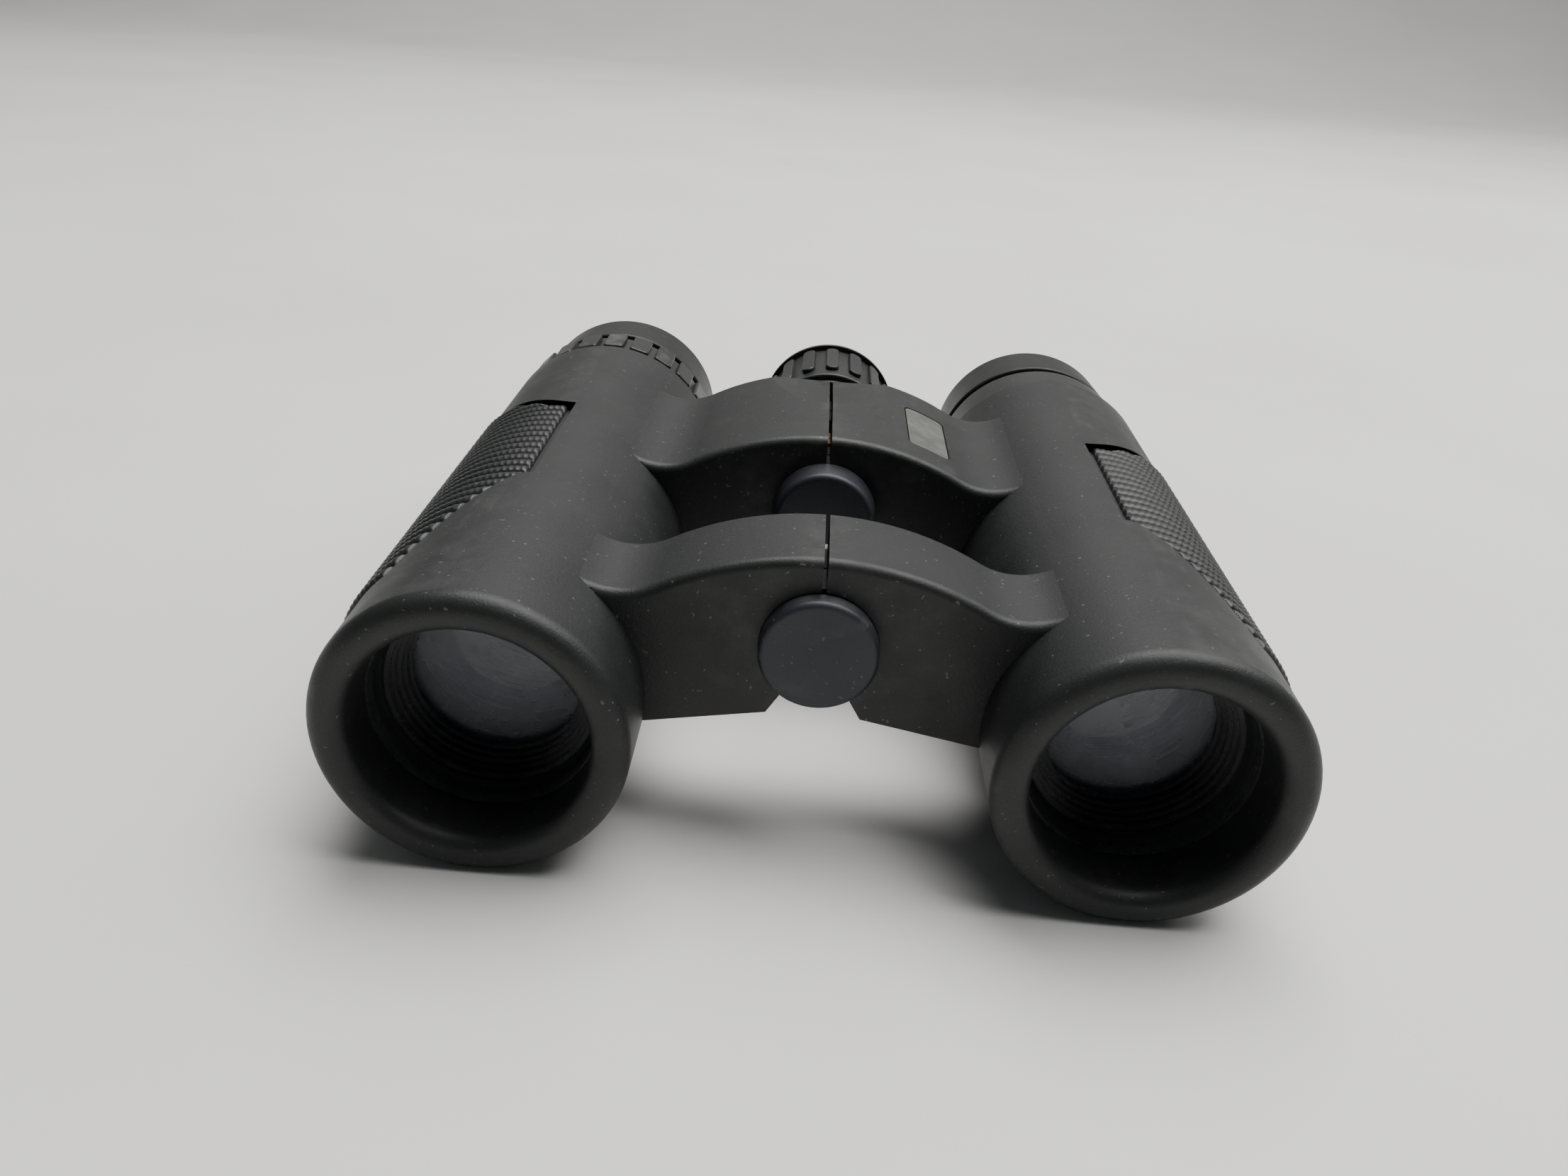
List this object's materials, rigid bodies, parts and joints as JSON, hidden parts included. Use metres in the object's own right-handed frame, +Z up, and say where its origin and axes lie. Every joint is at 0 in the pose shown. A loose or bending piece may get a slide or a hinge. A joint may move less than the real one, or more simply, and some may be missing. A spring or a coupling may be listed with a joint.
{
  "type": "binoculars",
  "caption": "Compact roof-prism binocular with an open folding bridge, rubber armour, ribbed side grips, central focus wheel and twist-up eyecups.",
  "frame": {"origin": "centre of the bounding box on the ground plane under the two barrels, with the binocular opened to its widest", "axes": "+X across the barrels towards the plain-collar side, +Y from the objectives to the eyepieces, +Z up"},
  "size_m": [0.1146, 0.1158, 0.0371],
  "materials": {
    "armour_rubber": "matte soft-touch, fine grain",
    "grip_rubber": "matte ribbed",
    "eyecup_rubber": "smooth matte",
    "black_plastic": "fine matte",
    "cap_plastic": "fine matte",
    "plate_plastic": "smooth satin",
    "black_metal": "black, semi-matte",
    "housing_metal": "black anodised",
    "steel": "ground",
    "brass": "turned",
    "coated_glass": "coated",
    "prism_glass": "polished",
    "seal_rubber": "smooth"
  },
  "bodies": {
    "right_half": {"housing_right": "housing_metal", "armour_right": "armour_rubber", "grip_right": "grip_rubber", "strap_lug_right": "black_metal", "objective_cell_right": "black_metal", "objective_seal_right": "seal_rubber", "objective_retainer_right": "black_metal", "objective_lens_right": "coated_glass", "baffle_tube_right": "black_plastic", "prism_cage_right": "housing_metal", "roof_prism_right": "prism_glass", "half_penta_prism_right": "prism_glass", "eyepiece_tube_right": "black_plastic", "eye_lens_right": "coated_glass", "field_cell_right": "black_metal", "field_lens_right": "coated_glass", "collar_right": "black_plastic", "front_axle": "steel", "front_cap": "cap_plastic", "middle_pin": "steel", "rear_cap": "cap_plastic", "rear_hinge_tube": "steel", "thrust_washers": "black_plastic", "name_plate": "plate_plastic"},
    "left_half": {"housing_left": "housing_metal", "armour_left": "armour_rubber", "grip_left": "grip_rubber", "strap_lug_left": "black_metal", "objective_cell_left": "black_metal", "objective_seal_left": "seal_rubber", "objective_retainer_left": "black_metal", "objective_lens_left": "coated_glass", "baffle_tube_left": "black_plastic", "prism_cage_left": "housing_metal", "roof_prism_left": "prism_glass", "half_penta_prism_left": "prism_glass", "eyepiece_tube_left": "black_plastic", "eye_lens_left": "coated_glass", "hinge_bushes": "brass"},
    "focus_wheel": {"focus_wheel_core": "housing_metal", "focus_wheel_grip": "grip_rubber", "focus_wheel_cap": "cap_plastic", "focus_screw": "steel"},
    "focus_carriage": {"focus_nut": "brass", "fork_clip": "steel", "focus_fork_right": "housing_metal", "focus_cell_right": "black_plastic", "focus_lens_right": "coated_glass"},
    "left_focus_slide": {"focus_fork_left": "housing_metal", "focus_cell_left": "black_plastic", "focus_lens_left": "coated_glass"},
    "diopter_ring": {"diopter_ring_left": "black_plastic"},
    "diopter_slide": {"field_cell_left": "black_metal", "field_lens_left": "coated_glass"},
    "left_eyecup_guide": {"eyecup_guide_ring_left": "black_plastic"},
    "left_eyecup": {"eyecup_sleeve_left": "black_plastic", "eyecup_rubber_left": "eyecup_rubber"},
    "right_eyecup_guide": {"eyecup_guide_ring_right": "black_plastic"},
    "right_eyecup": {"eyecup_sleeve_right": "black_plastic", "eyecup_rubber_right": "eyecup_rubber"}
  },
  "joints": [
    {"name": "bridge_hinge", "type": "hinge", "parent": "right_half", "child": "left_half", "pos_m": [0, -0.0379, 0.02615], "axis": [0, -1, 0], "range_deg": [0, 59]},
    {"name": "focus_wheel_turn", "type": "hinge", "parent": "right_half", "child": "focus_wheel", "pos_m": [0, 0.0311, 0.02615], "axis": [0, 1, 0], "range_deg": [-270, 270]},
    {"name": "focus_carriage_slide", "type": "slide", "parent": "right_half", "child": "focus_carriage", "axis": [0, 1, 0], "range_m": [-0.00225, 0.00225]},
    {"name": "left_focus_slide", "type": "slide", "parent": "left_half", "child": "left_focus_slide", "axis": [0, 1, 0], "range_m": [-0.00225, 0.00225]},
    {"name": "diopter_ring_turn", "type": "hinge", "parent": "left_half", "child": "diopter_ring", "pos_m": [-0.037, 0.0391, 0.0176], "axis": [0, 1, 0], "range_deg": [-60, 60]},
    {"name": "diopter_lens_slide", "type": "slide", "parent": "left_half", "child": "diopter_slide", "axis": [0, 1, 0], "range_m": [-0.0008, 0.0008]},
    {"name": "left_eyecup_turn", "type": "hinge", "parent": "left_half", "child": "left_eyecup_guide", "pos_m": [-0.037, 0.0447, 0.0176], "axis": [0, 1, 0], "range_deg": [0, 90]},
    {"name": "left_eyecup_slide", "type": "slide", "parent": "left_eyecup_guide", "child": "left_eyecup", "axis": [0, 1, 0], "range_m": [0, 0.005]},
    {"name": "right_eyecup_turn", "type": "hinge", "parent": "right_half", "child": "right_eyecup_guide", "pos_m": [0.037, 0.0447, 0.0176], "axis": [0, 1, 0], "range_deg": [0, 90]},
    {"name": "right_eyecup_slide", "type": "slide", "parent": "right_eyecup_guide", "child": "right_eyecup", "axis": [0, 1, 0], "range_m": [0, 0.005]}
  ],
  "couplings": [
    {"joint": "focus_wheel_turn", "follows": "focus_carriage_slide", "rad_per_m": 2094.2},
    {"joint": "left_focus_slide", "follows": "focus_carriage_slide", "ratio": 0.9999},
    {"joint": "diopter_lens_slide", "follows": "diopter_ring_turn", "m_per_rad": 0.00076387},
    {"joint": "left_eyecup_slide", "follows": "left_eyecup_turn", "m_per_rad": 0.0031828},
    {"joint": "right_eyecup_slide", "follows": "right_eyecup_turn", "m_per_rad": 0.0031828}
  ]
}
